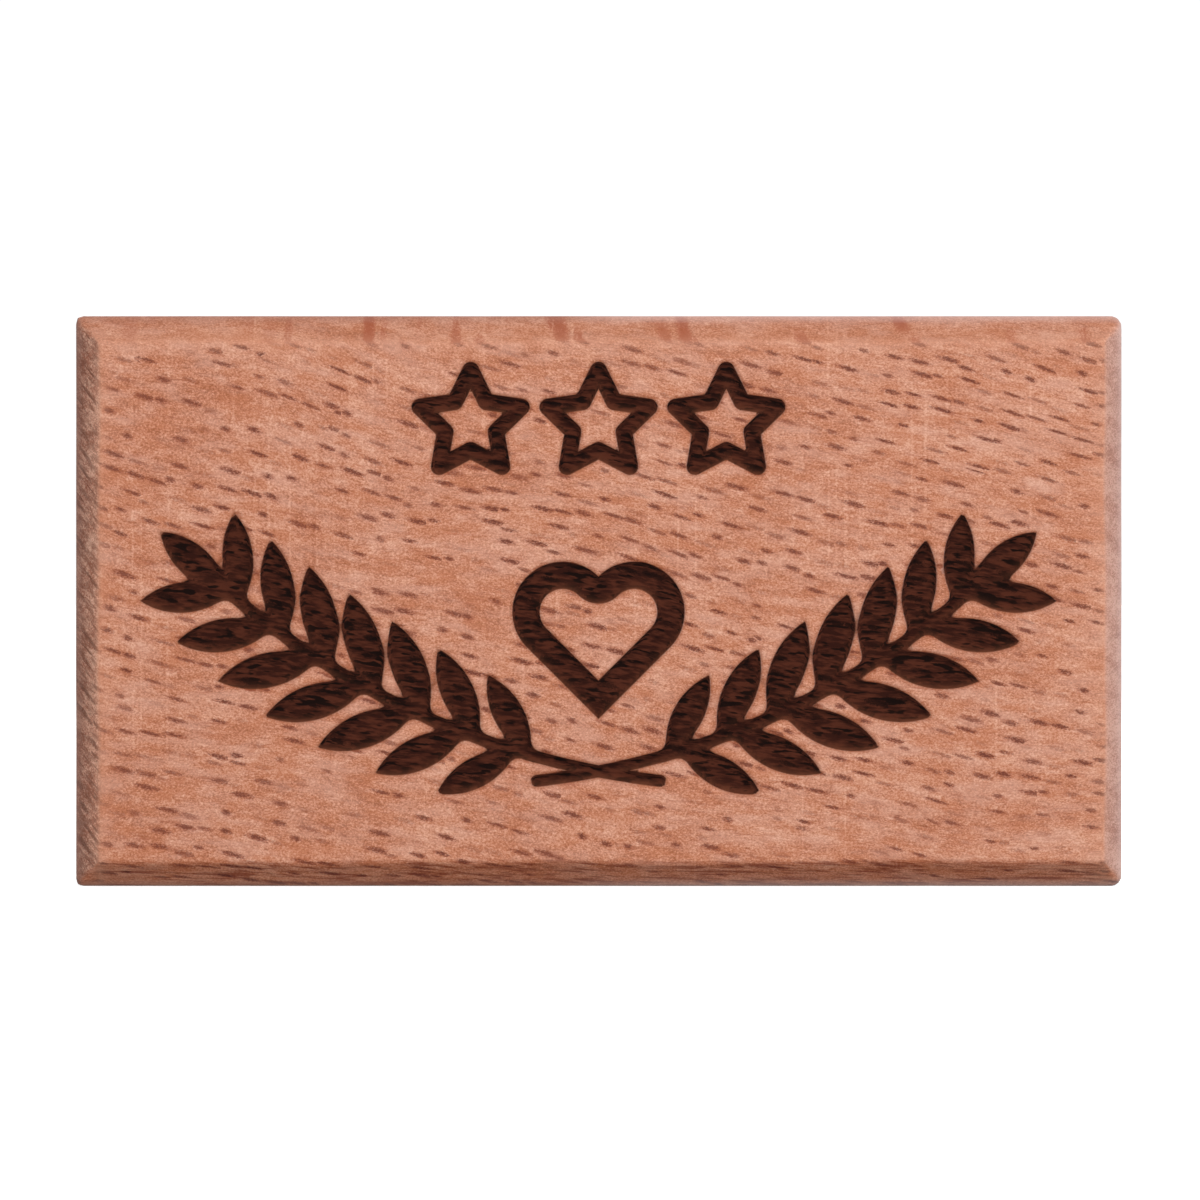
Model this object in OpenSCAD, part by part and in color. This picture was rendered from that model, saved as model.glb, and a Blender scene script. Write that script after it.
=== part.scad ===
// A wooden plaque: one bevelled beech block with an engraved star, heart and
// laurel motif on its front, a flush steel keyhole hanger on its back, held by
// two countersunk wood screws, and four rubber wall bumpers.
// X is the width, Z is up from the lower edge, and the front faces -Y.

/* [Block] */
// Width of the plaque, left to right
plaque_w = 110; // [100:1:160]
// Height of the plaque, standing on its lower edge
plaque_h = 60; // [54:1:90]
// Thickness of the wooden block
block_t = 18; // [16:1:24]
// Rounding of the four corners, seen from the front
corner_r = 1.1; // [0.5:0.1:2.5]
// Width of the front bevel along the left edge
bevel_left = 2.6; // [1:0.05:4]
// Width of the front bevel along the right edge
bevel_right = 1.9; // [1:0.05:4]
// Width of the front bevel along the upper edge
bevel_top = 2.85; // [1:0.05:4]
// Width of the front bevel along the lower edge
bevel_bottom = 2.6; // [1:0.05:4]
// Width of the small bevel all round the back
bevel_back = 0.6; // [0.3:0.1:1.5]

/* [Engraving] */
// Depth of the engraved motif
engrave_depth = 0.7; // [0.3:0.1:1.2]
// Number of stars in the upper row
star_count = 3; // [1:1:3]
// Width of the line that draws each star
star_line = 1.8; // [1:0.1:2.2]
// Width of the line that draws the heart
heart_line = 2.9; // [1.5:0.1:3.5]
// Number of leaf pairs on each laurel branch
leaf_pairs = 7; // [4:1:8]

/* [Keyhole hanger] */
// Length of the hanger plate, with its round ends
plate_l = 38; // [36:1:42]
// Width of the hanger plate
plate_w = 15; // [14:1:18]
// Thickness of the hanger plate
plate_t = 1.5; // [1.4:0.1:2]
// Radius of the round hole that passes over the wall screw's head
entry_r = 4.5; // [4:0.1:5]
// Half width of the slot that the wall screw's shank slides up
slot_r = 2.2; // [1.8:0.1:2.6]
// Height that the plaque drops by as it hooks on
slot_travel = 8; // [6:0.5:9]
// Depth of the hollow behind the plate for the wall screw's head
hollow_depth = 7; // [4:0.5:8]

/* [Hanger screws] */
// Overall length of each countersunk wood screw
screw_l = 12; // [9:0.5:13]
// Outer radius of the screw thread
thread_r = 1.5; // [1.3:0.1:1.7]
// Radius of the screw head
head_r = 2.9; // [2.6:0.1:3.1]

/* [Bumpers] */
// Radius of each rubber bumper
bumper_r = 4.5; // [3:0.5:6]
// Height that each bumper stands out of the back
bumper_t = 2; // [1:0.5:3]
// Distance from a bumper's centre to the two nearest edges
bumper_inset = 9; // [8:0.5:14]

/* [Hidden] */
$fn = 72;

past = 1;                          // how far a cutter runs past a face
knuckle = 0.03;                    // a line's round ends are this much fuller than the line
back_y = (block_t - bumper_t) / 2; // back of the wood; the whole depth is centred on Y = 0
front_y = back_y - block_t;

// The motif is drawn for a 110 x 60 face and grows with the smaller ratio.
motif_scale = min(plaque_w / 110, plaque_h / 60);
star_z = 48.6;
star_pitch = 13.4;
star_r = 5.6;
star_waist = 0.5;                  // inner radius over outer radius
heart_tip_z = 17.6;
heart_side = 10.6;
branch_r = 84;                     // each branch is an arc about branch_centre
branch_centre = [-16, 94.6];
branch_angles = [6.5, 41.5];       // from its cut end to its tip
leaf_angles = [16, 39.5];          // first and last leaf pair
stem_line = 1.3;
leaf_l = 8.6;                      // shortest leaf
leaf_gain = 2.4;                   // the middle leaves are this much longer
leaf_slim = 0.34;                  // width over length
inner_spread = 46;                 // angles between a leaf and its branch
outer_spread = -44;
outer_shift = 1.5;                 // outer leaves sit further along the branch
tip_leaf = [9.4, 3.4];

plate_z = 0.6 * plaque_h;          // middle of the hanger plate
plate_gap = 0.15;                  // clearance round the plate in its pocket
screw_reach = plate_l / 2 - 4;     // from the plate's middle to each screw
entry_z = plate_z - 3.5;
hollow_gap = 1;                    // the hollow is wider than the entry hole

head_t = head_r - thread_r;        // a 90 degree countersunk head
core_r = thread_r - 0.4;
thread_pitch = 1.35;
point_l = 3;
shank_l = 0.6;                     // smooth length under the head
recess_arm = [3.2, 0.8];           // length and width of a cross recess arm
recess_depth = 1.1;

// A solid with the outline of children(), from y to y + depth.
module slab(y, depth)
    translate([0, y + depth, 0]) rotate([90, 0, 0])
        linear_extrude(depth) children();

// A shape turned about +Z, laid along Y so that its base is at back_y.
module into_back(x, z)
    translate([x, back_y, z]) rotate([90, 0, 0]) children();

module rounded_rectangle(w, h, r) {
    translate([-w / 2 + r, 0]) square([w - 2 * r, h]);
    translate([-w / 2, r]) square([w, h - 2 * r]);
    for (x = [-w / 2 + r, w / 2 - r], z = [r, h - r])
        translate([x, z]) circle(r);
}

module stadium(r, travel) {
    circle(r);
    translate([0, travel]) circle(r);
    translate([-r, 0]) square([2 * r, travel]);
}

// Removes a 45 degree corner of this width, along X, below and before the origin.
module bevel_cutter(width, length)
    rotate([90, 0, 90]) translate([0, 0, -length / 2]) linear_extrude(length)
        polygon([[-past, -past], [width + past, -past], [-past, width + past]]);

module edge_bevels(y, turn, left, right, bottom, top) {
    middle = plaque_h / 2;
    translate([0, y, middle]) rotate([0, 0, turn]) {
        translate([0, 0, -middle]) bevel_cutter(bottom, plaque_w + 4 * past);
        rotate([0, 180, 0]) translate([0, 0, -middle])
            bevel_cutter(top, plaque_w + 4 * past);
        rotate([0, 90, 0]) translate([0, 0, -plaque_w / 2])
            bevel_cutter(left, plaque_h + 4 * past);
        rotate([0, -90, 0]) translate([0, 0, -plaque_w / 2])
            bevel_cutter(right, plaque_h + 4 * past);
    }
}

// ---- Engraved motif, drawn in the plane of the face ----

function star_point(k) =
    star_r * (k % 2 == 0 ? 1 : star_waist) * [sin(36 * k), cos(36 * k)];

module star_outline() {
    for (k = [0:9]) {
        from = star_point(k);
        reach = star_point(k + 1) - from;
        translate(from) {
            circle(star_line / 2 + knuckle, $fn = 32);
            rotate(atan2(reach[1], reach[0])) translate([0, -star_line / 2])
                square([norm(reach), star_line]);
        }
    }
}

// A heart standing on its tip: a square on its corner with a half disc on each
// upper side. The inner outline keeps heart_line away from the outer one.
module heart_outline() {
    side = heart_side;
    inner = side - heart_line;
    rotate(45) difference() {
        union() {
            square(side);
            translate([side, side / 2]) circle(side / 2);
            translate([side / 2, side]) circle(side / 2);
        }
        difference() {
            union() {
                translate([heart_line, heart_line]) square(inner);
                translate([side, side / 2]) circle(side / 2 - heart_line);
                translate([side / 2, side]) circle(side / 2 - heart_line);
            }
            translate([side, side]) circle(heart_line);
        }
    }
}

// A pointed leaf along +X: the overlap of two equal discs.
module leaf(length, width) {
    r = (length * length + width * width) / (4 * width);
    intersection() {
        translate([length / 2, r - width / 2]) circle(r, $fn = 144);
        translate([length / 2, width / 2 - r]) circle(r, $fn = 144);
    }
}

module on_branch(angle) rotate(angle) translate([0, -branch_r]) children();

module branch() {
    far = 2 * branch_r;
    translate(branch_centre) {
        intersection() {
            difference() {
                circle(branch_r + stem_line / 2, $fn = 360);
                circle(branch_r - stem_line / 2, $fn = 360);
            }
            polygon([[0, 0], for (a = branch_angles) far * [sin(a), -cos(a)]]);
        }
        on_branch(branch_angles[0]) circle(stem_line / 2 + knuckle, $fn = 32);
        on_branch(branch_angles[1]) translate([-1, 0]) leaf(tip_leaf[0], tip_leaf[1]);
        for (i = [0:leaf_pairs - 1]) {
            share = i / (leaf_pairs - 1);
            length = leaf_l + leaf_gain * sin(180 * (i + 1) / (leaf_pairs + 1));
            on_branch(leaf_angles[0] + share * (leaf_angles[1] - leaf_angles[0])) {
                rotate(inner_spread) leaf(length, leaf_slim * length);
                translate([outer_shift, 0]) rotate(outer_spread)
                    leaf(length, leaf_slim * length);
            }
        }
    }
}

module motif()
    translate([0, plaque_h / 2]) scale(motif_scale) translate([0, -30]) {
        for (k = [0:star_count - 1])
            translate([star_pitch * (k - (star_count - 1) / 2), star_z]) star_outline();
        translate([0, heart_tip_z]) heart_outline();
        branch();
        mirror([1, 0]) branch();
    }

// ---- Sub-parts ----

module plaque_block() {
    color([0.74, 0.48, 0.38]) difference() {
        slab(front_y, block_t) rounded_rectangle(plaque_w, plaque_h, corner_r);
        edge_bevels(front_y, 0, bevel_left, bevel_right, bevel_bottom, bevel_top);
        edge_bevels(back_y, 180, bevel_back, bevel_back, bevel_back, bevel_back);
        slab(front_y - past, past + engrave_depth) motif();
        // pocket that the hanger plate lies flush in
        slab(back_y - plate_t, plate_t + past)
            translate([0, plate_z - plate_l / 2 + plate_w / 2])
                stadium(plate_w / 2 + plate_gap, plate_l - plate_w);
        // hollow for the wall screw's head
        slab(back_y - plate_t - hollow_depth, hollow_depth + past)
            translate([0, entry_z]) stadium(entry_r + hollow_gap, slot_travel);
        // holes that the hanger screws have cut for themselves
        for (z = [plate_z - screw_reach, plate_z + screw_reach])
            into_back(0, z) cylinder(r = thread_r, h = screw_l);
    }
}

module keyhole_plate() {
    color([0.72, 0.72, 0.74]) difference() {
        slab(back_y - plate_t, plate_t)
            translate([0, plate_z - plate_l / 2 + plate_w / 2])
                stadium(plate_w / 2, plate_l - plate_w);
        slab(back_y - plate_t - past, plate_t + 2 * past) translate([0, entry_z]) {
            circle(entry_r);
            stadium(slot_r, slot_travel);
        }
        for (z = [plate_z - screw_reach, plate_z + screw_reach])
            into_back(0, z) {
                translate([0, 0, -past]) cylinder(r = thread_r, h = plate_t + 2 * past);
                cylinder(r1 = head_r, r2 = thread_r, h = head_t);
                translate([0, 0, -past]) cylinder(r = head_r, h = past);
            }
    }
}

// A countersunk wood screw turned about Y, with a ringed thread and a cross recess.
module wood_screw(z) {
    thread_top = head_t + shank_l;
    rings = floor((screw_l - point_l - thread_top) / thread_pitch);
    thread_end = thread_top + rings * thread_pitch;
    into_back(0, z) color([0.80, 0.78, 0.72]) difference() {
        rotate_extrude() polygon([
            [0, 0], [head_r, 0], [thread_r, head_t], [core_r, thread_top],
            for (k = [0:rings - 1])
                each [[thread_r, thread_top + (k + 0.5) * thread_pitch],
                      [core_r, thread_top + (k + 1) * thread_pitch]],
            [core_r, thread_end], [0, screw_l]]);
        intersection() {
            translate([0, 0, -past])
                cylinder(r1 = recess_arm[0] / 2 + past, r2 = 0.4,
                         h = recess_depth + past);
            for (turn = [0, 90])
                rotate(turn) translate([0, 0, recess_depth / 2 - past])
                    cube([recess_arm[0], recess_arm[1], recess_depth + 2 * past],
                         center = true);
        }
    }
}

module screw_upper() { wood_screw(plate_z + screw_reach); }
module screw_lower() { wood_screw(plate_z - screw_reach); }

// A turned rubber disc with a rounded outer edge.
module bumper(x, z) {
    edge_r = 0.6;
    translate([x, back_y, z]) rotate([-90, 0, 0]) color([0.12, 0.12, 0.12])
        rotate_extrude() {
            square([bumper_r, bumper_t - edge_r]);
            square([bumper_r - edge_r, bumper_t]);
            translate([bumper_r - edge_r, bumper_t - edge_r]) circle(edge_r);
        }
}

bumper_x = plaque_w / 2 - bumper_inset;
module bumper_upper_left() { bumper(-bumper_x, plaque_h - bumper_inset); }
module bumper_upper_right() { bumper(bumper_x, plaque_h - bumper_inset); }
module bumper_lower_left() { bumper(-bumper_x, bumper_inset); }
module bumper_lower_right() { bumper(bumper_x, bumper_inset); }

plaque_block();
keyhole_plate();
screw_upper();
screw_lower();
bumper_upper_left();
bumper_upper_right();
bumper_lower_left();
bumper_lower_right();
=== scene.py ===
import bpy
import numpy as np
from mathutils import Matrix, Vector


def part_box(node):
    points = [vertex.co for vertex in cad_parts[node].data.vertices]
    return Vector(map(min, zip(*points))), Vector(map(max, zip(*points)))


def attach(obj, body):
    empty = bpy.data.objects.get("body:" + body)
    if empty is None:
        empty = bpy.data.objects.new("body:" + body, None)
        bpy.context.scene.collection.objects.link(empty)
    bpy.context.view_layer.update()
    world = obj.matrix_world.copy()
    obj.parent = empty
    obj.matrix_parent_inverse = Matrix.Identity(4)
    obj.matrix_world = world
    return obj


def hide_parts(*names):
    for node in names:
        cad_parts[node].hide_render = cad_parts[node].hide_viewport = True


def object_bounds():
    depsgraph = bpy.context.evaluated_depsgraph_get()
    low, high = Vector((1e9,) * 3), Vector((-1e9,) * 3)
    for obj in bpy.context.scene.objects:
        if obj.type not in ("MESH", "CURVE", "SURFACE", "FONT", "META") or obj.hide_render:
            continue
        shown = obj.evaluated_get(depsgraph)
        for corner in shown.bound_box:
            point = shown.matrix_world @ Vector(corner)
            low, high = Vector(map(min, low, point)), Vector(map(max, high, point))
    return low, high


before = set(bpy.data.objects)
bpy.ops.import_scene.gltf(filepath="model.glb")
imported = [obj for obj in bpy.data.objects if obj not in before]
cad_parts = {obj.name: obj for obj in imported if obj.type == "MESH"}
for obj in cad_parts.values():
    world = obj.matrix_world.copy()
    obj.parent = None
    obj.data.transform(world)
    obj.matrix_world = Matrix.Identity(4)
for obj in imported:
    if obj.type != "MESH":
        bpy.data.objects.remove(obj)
cad_low, cad_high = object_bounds()

# ---- The block: its shape --------------------------------------------------------------------
# One piece of planed beech, 110 x 60 x 18 mm, with a sawn bevel along each front edge. A laser
# has burnt three stars, a heart and two laurel branches 0.7 mm deep into the face.
# All the sizes below are in millimetres, and x and z lie in the plane of the face.

low, high = (np.array(corner) * 1000 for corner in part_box("plaque_block"))
front, back = low[1], high[1]
block_width, block_height = high[0] - low[0], high[2]

corner_left, corner_right = 0.7, 1.1
bevel_left, bevel_right, bevel_top, bevel_bottom = 2.6, 1.9, 2.85, 2.6
back_bevel = 0.6
crease_softness = 0.36
arris_radius = 0.5

engraving_depth = 0.7
wall_run = 0.42          # how far the burnt wall leans in before it meets the floor
notch = 1.0              # width over which the notch between two leaves is rounded
cell, flat_cell = 0.3, 0.7       # spacing of the face's grid where the engraving is, and beside it
crease_band = 0.6        # to either side of a crease, where the grid is finer
snap = 0.42              # share of a cell within which a corner is drawn onto the engraving's edge


def distance_to_star(x, z, middle, radius=5.6, waist=0.5, line=1.8):
    """A five-pointed outline: distance to the nearest of its ten sides, less half the line."""
    turn = np.radians(36 * np.arange(11))
    reach = radius * np.where(np.arange(11) % 2, waist, 1)
    tips = np.stack([middle[0] + reach * np.sin(turn), middle[1] + reach * np.cos(turn)], 1)
    nearest = np.full(x.shape, 1e3)
    for a, b in zip(tips[:-1], tips[1:]):
        along = ((x - a[0]) * (b[0] - a[0]) + (z - a[1]) * (b[1] - a[1])) / np.sum((b - a) ** 2)
        along = np.clip(along, 0, 1)
        off = np.hypot(x - a[0] - along * (b[0] - a[0]), z - a[1] - along * (b[1] - a[1]))
        nearest = np.minimum(nearest, off)
    return nearest - line / 2


def distance_to_heart(x, z, tip, side=10.6, line=2.9):
    """An outlined heart: a square on its corner with a disc on each upper side, taken as a solid
    heart less the same heart with its edge moved in by the width of the line."""
    u = ((x - tip[0]) + (z - tip[1])) / np.sqrt(2)
    v = (z - tip[1] - (x - tip[0])) / np.sqrt(2)

    def square(start):
        return np.maximum.reduce([start - u, start - v, u - side, v - side])

    lobes = np.minimum(np.hypot(u - side, v - side / 2), np.hypot(u - side / 2, v - side))
    solid = np.minimum(square(0), lobes - side / 2)
    hollow = np.minimum(square(line), lobes - side / 2 + line)
    hollow = np.maximum(hollow, line - np.hypot(u - side, v - side))
    return np.maximum(solid, -hollow)


def distance_to_leaf(along, across, length, width):
    """A pointed leaf from the origin along the first axis: the overlap of two equal discs."""
    radius = (length ** 2 + width ** 2) / (4 * width)
    rise = radius - width / 2
    return np.hypot(along - length / 2, np.abs(across) + rise) - radius


def soft_max(a, b, softness):
    """The larger of two surfaces, with the crease between them rounded over this width."""
    blend = np.clip(1 - np.abs(a - b) / softness, 0, 1)
    return np.maximum(a, b) + softness * blend ** 2 / 4


def distance_to_branch(x, z, centre=(-16, 94.6), radius=84, ends=(6.5, 41.5), stem=1.3, pairs=7):
    """A stem along an arc, a leaf at its tip, and pairs of leaves leaning out of it, each pair
    turned about the arc's centre from 16 to 39.5 degrees and longest in the middle. The beam
    leaves no sliver between two leaves, so the notches where they meet are rounded."""
    first, last = 16, 39.5
    shortest, swell, slender = 8.6, 2.4, 0.34
    inner_leaf, outer_leaf = (0, 46), (1.5, -44)      # shift along the stem, and lean from it
    dx, dz = x - centre[0], z - centre[1]
    turn = np.clip(np.arctan2(dx, -dz), *np.radians(ends))
    nearest = np.hypot(dx - radius * np.sin(turn), dz + radius * np.cos(turn)) - stem / 2

    def leaf(place, shift, lean, length, width):
        s, c = np.sin(np.radians(place)), np.cos(np.radians(place))
        along, up = dx * c + dz * s - shift, -dx * s + dz * c + radius
        s, c = np.sin(np.radians(lean)), np.cos(np.radians(lean))
        return distance_to_leaf(along * c + up * s, -along * s + up * c, length, width)

    nearest = -soft_max(-nearest, -leaf(ends[1], -1, 0, 9.4, 3.4), notch)
    for pair in range(pairs):
        place = first + (last - first) * pair / (pairs - 1)
        length = shortest + swell * np.sin(np.pi * (pair + 1) / (pairs + 1))
        for shift, lean in (inner_leaf, outer_leaf):
            blade = leaf(place, shift, lean, length, slender * length)
            nearest = -soft_max(-nearest, -blade, notch)
    return nearest


def distance_to_motif(x, z):
    """Signed distance to the engraving's outline, negative inside it. The motif is drawn for a
    block of 110 x 60 mm. The two branches mirror each other and cross at their feet."""
    drawn_width, drawn_height = 110, 60
    star_spacing, star_height, heart_tip = 13.4, 48.6, (0, 17.6)
    scale = min(block_width / drawn_width, block_height / drawn_height)
    x, z = x / scale, (z - block_height / 2) / scale + drawn_height / 2
    shapes = [distance_to_star(x, z, (star_spacing * k, star_height)) for k in (-1, 0, 1)]
    shapes.append(distance_to_heart(x, z, heart_tip))
    shapes.append(distance_to_branch(np.abs(x), z))
    shapes.append(distance_to_branch(-np.abs(x), z))
    return scale * np.minimum.reduce(shapes)


def pull_in_corners(x, z):
    """Rounds the rectangle: within a corner, each of the grid's square rings becomes an arc.
    Returns the moved places, the outward direction and the distance in from the outline."""
    edge_distance = np.minimum.reduce([x - low[0], high[0] - x, z, block_height - z])
    radius = np.where(x < 0, corner_left, corner_right)
    cx = np.clip(x, low[0] + radius, high[0] - radius)
    cz = np.clip(z, radius, block_height - radius)
    vx, vz = x - cx, z - cz
    reach = np.hypot(vx, vz)
    square = np.maximum(np.abs(vx), np.abs(vz))
    safe = np.where(reach > 0, reach, 1)
    ux, uz = vx / safe, vz / safe
    return cx + ux * square, cz + uz * square, ux, uz, edge_distance


def wander(place, phase):
    """How far a hand-sanded crease strays to either side, as the sum of two slow waves."""
    return 0.07 * np.sin(place / 7.3 + phase) + 0.05 * np.sin(place / 2.9 + 3 * phase)


def past_creases(x, z):
    """How far a place lies beyond the left, right, lower and upper crease, negative on the flat."""
    return (bevel_left + wander(z, 1) - (x - low[0]), bevel_right + wander(z, 2) - (high[0] - x),
            bevel_bottom + wander(x, 3) - z, bevel_top + wander(x, 4) - (block_height - z))


def front_surface(x, z, edge_distance):
    """Depth of the bare front: flat, then four 45 degree bevels, then a small round into the
    sides where the distance to the outline runs out."""
    left, right, bottom, top = past_creases(x, z)
    slope = soft_max(soft_max(left, right, 0.1), soft_max(bottom, top, 0.1), 0.3)
    depth = front + soft_max(np.zeros_like(x), slope, crease_softness)
    inside = np.clip(edge_distance, 0, arris_radius * (1 - np.sqrt(0.5)))
    arc = np.sqrt(arris_radius ** 2 - (arris_radius - inside) ** 2)
    return depth + arris_radius * (np.sqrt(2) - 1) + inside - arc


def even_runs(start, *runs):
    """Grid lines from start on, each run giving the place that it ends at and its cells."""
    lines = [np.array([start])]
    for end, cells in runs:
        lines.append(np.linspace(lines[-1][-1], end, cells + 1)[1:])
    return np.concatenate(lines)


def edge_to_motif(start, crease, motif):
    """Grid lines from an edge to the engraving: close ones over the edge's round, wider ones down
    the bevel, a dozen cells across the crease, and the flat's own spacing beyond it."""
    way = np.sign(motif - start)
    return even_runs(start, (start + way * 0.05, 1), (start + way * 0.15, 2),
                     (crease - way * crease_band, 3), (crease + way * crease_band, 12),
                     (motif, int(np.ceil(abs(motif - crease) / flat_cell))))


# The engraving reaches this far to either side, and lies in two bands: the heart and branches,
# then a plain gap, then the stars.
reach_x, lower_z, gap_z, upper_z = 46.8, (11.4, 39.9), 42.4, 55.2
right_lines = edge_to_motif(high[0], high[0] - bevel_right, reach_x)[::-1]
x_lines = np.concatenate([
    edge_to_motif(low[0], low[0] + bevel_left, -reach_x)[:-1],
    even_runs(-reach_x, (reach_x, round(2 * reach_x / cell))), right_lines[1:]])
top_lines = edge_to_motif(block_height, block_height - bevel_top, upper_z)[::-1]
z_lines = np.concatenate([
    edge_to_motif(0, bevel_bottom, lower_z[0])[:-1],
    even_runs(lower_z[0], (lower_z[1], round((lower_z[1] - lower_z[0]) / cell)), (gap_z, 4),
              (upper_z, round((upper_z - gap_z) / cell))), top_lines[1:]])


def slope_of(distance, x, z, step=0.01):
    """The direction in which a distance grows, from its differences over a small step."""
    return ((distance(x + step, z) - distance(x - step, z)) / (2 * step),
            (distance(x, z + step) - distance(x, z - step)) / (2 * step))


def draw_to_outline(distance, x, z, reach):
    """Moves each point that lies within reach of an outline onto it, down the slope of its
    distance, so that the edge of a recess or a hole is a clean curve."""
    for _ in range(2):
        off = distance(x, z)
        gx, gz = slope_of(distance, x, z)
        move = np.where(np.abs(off) < reach, off, 0) / np.maximum(gx ** 2 + gz ** 2, 0.3)
        x, z = x - move * gx, z - move * gz
    return x, z


grid_x, grid_z = np.meshgrid(x_lines, z_lines, indexing="ij")
grid_x, grid_z, out_x, out_z, edge_distance = pull_in_corners(grid_x, grid_z)
grid_x, grid_z = draw_to_outline(distance_to_motif, grid_x, grid_z, snap * cell)
outline = distance_to_motif(grid_x, grid_z)
sunk = np.clip(-outline / wall_run, 0, 1)
sunk = engraving_depth * sunk * sunk * (3 - 2 * sunk)
grid_y = front_surface(grid_x, grid_z, edge_distance) + sunk
face_points = np.stack([grid_x, grid_y, grid_z], -1)


def round_the_border(grid):
    """A grid's outermost entries in one loop, anticlockwise as seen from the front."""
    return np.concatenate([grid[:-1, 0], grid[-1, :-1], grid[:0:-1, -1], grid[0, :0:-1]])


def slot_outline(ray_x, ray_z, from_z, ends, radius):
    """Where rays from (0, from_z) meet an upright slot with round ends about the two heights."""
    side = radius / np.maximum(np.abs(ray_x), 1e-9)
    side_z = from_z + side * ray_z
    end = np.where(ray_z > 0, ends[1], ends[0]) - from_z
    dot = end * ray_z
    cap = dot + np.sqrt(np.maximum(dot ** 2 - end ** 2 + radius ** 2, 0))
    reach = np.where((side_z >= ends[0]) & (side_z <= ends[1]), side, cap)
    return reach * ray_x, from_z + reach * ray_z


plate_low, plate_high = (np.array(corner) * 1000 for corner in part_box("keyhole_plate"))
plate_thickness = plate_high[1] - plate_low[1]
plate_middle = (plate_low[2] + plate_high[2]) / 2
plate_half_width = plate_high[0]
plate_ends = (plate_low[2] + plate_half_width, plate_high[2] - plate_half_width)
pocket_gap = 0.15        # between the plate and the pocket that it lies in
pocket_radius = plate_half_width + pocket_gap
entry_height, entry_radius, slot_half_width, travel = plate_middle - 3.5, 4.5, 2.2, 8.0
hollow_ends, hollow_radius, hollow_depth = (entry_height, entry_height + travel), 5.5, 7.0
hollow_round = 0.3       # at the foot of the hollow's wall
heart_of_hollow = entry_height + travel / 2

border_x, border_y, border_z = round_the_border(face_points).T
border_out_x, border_out_z = round_the_border(out_x), round_the_border(out_z)
ray = np.hypot(border_x, border_z - heart_of_hollow)
ray_x, ray_z = border_x / ray, (border_z - heart_of_hollow) / ray


def border_ring(inset, y):
    """The face's border moved inwards by inset, at depth y."""
    return np.stack([border_x - inset * border_out_x, y + 0 * border_x,
                     border_z - inset * border_out_z], -1)


def slot_ring(ends, radius, y):
    """The outline of an upright slot at depth y, one point for each point of the border."""
    x, z = slot_outline(ray_x, ray_z, heart_of_hollow, ends, radius)
    return np.stack([x, y + 0 * x, z], -1)


# From the face's border down the sides, over the back bevel, in across the back to the pocket,
# down to the pocket's floor, and on down the hollow for the wall screw's head.
pocket_floor = back - plate_thickness
hollow_floor = pocket_floor - hollow_depth
side_start = back - back_bevel
rings = [border_ring(0, border_y + share * (side_start - border_y)) for share in (0.02, 0.5, 0.98)]
rings += [border_ring(0, side_start), border_ring(0.04, side_start + 0.1),
          border_ring(0.53, back - 0.07), border_ring(0.6, back - 0.01), border_ring(0.66, back)]
rings += [slot_ring(plate_ends, pocket_radius + 0.15, back),
          slot_ring(plate_ends, pocket_radius + 0.02, back - 0.1),
          slot_ring(plate_ends, pocket_radius, back - 0.3),
          slot_ring(plate_ends, pocket_radius, pocket_floor),
          slot_ring(hollow_ends, hollow_radius, pocket_floor),
          slot_ring(hollow_ends, hollow_radius, pocket_floor - 0.4),
          slot_ring(hollow_ends, hollow_radius, hollow_floor + hollow_round),
          slot_ring(hollow_ends, hollow_radius - hollow_round, hollow_floor)]


def grid_quads(rows, columns, closed):
    """Corner numbers of every cell of a grid, whose last column meets the first if closed."""
    row = np.arange(rows - 1)[:, None]
    column = np.arange(columns if closed else columns - 1)[None, :]
    after = (column + 1) % columns
    corners = [row * columns + column, (row + 1) * columns + column,
               (row + 1) * columns + after, row * columns + after]
    return np.stack([c + 0 * (row + column) for c in corners], -1).reshape(-1, 4)


def make_piece(name, points, quads, triangles=None, shade_below=50):
    """Fills a mesh with points in millimetres and faces turned outwards, and marks as sharp the
    edges that turn by more than shade_below degrees."""
    triangles = np.zeros((0, 3), int) if triangles is None else triangles
    points = points / 1000
    halves = np.concatenate([quads[:, [0, 1, 2]], quads[:, [0, 2, 3]], triangles])
    a, b, c = (points[halves[:, k]] for k in range(3))
    if np.sum(a * np.cross(b, c)) < 0:
        quads, triangles = quads[:, ::-1], triangles[:, ::-1]
    corners = np.concatenate([quads.ravel(), triangles.ravel()]).astype(np.int32)
    sizes = np.concatenate([np.full(len(quads), 4), np.full(len(triangles), 3)])
    mesh = bpy.data.meshes.new(name)
    mesh.vertices.add(len(points))
    mesh.vertices.foreach_set("co", points.astype(np.float32).ravel())
    mesh.loops.add(len(corners))
    mesh.loops.foreach_set("vertex_index", corners)
    mesh.polygons.add(len(sizes))
    mesh.polygons.foreach_set("loop_start", (np.cumsum(sizes) - sizes).astype(np.int32))
    mesh.update(calc_edges=True)
    mesh.validate()
    mesh.shade_smooth()
    mesh.set_sharp_from_angle(angle=np.radians(shade_below))
    piece = bpy.data.objects.new(name, mesh)
    bpy.context.scene.collection.objects.link(piece)
    return piece


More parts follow.
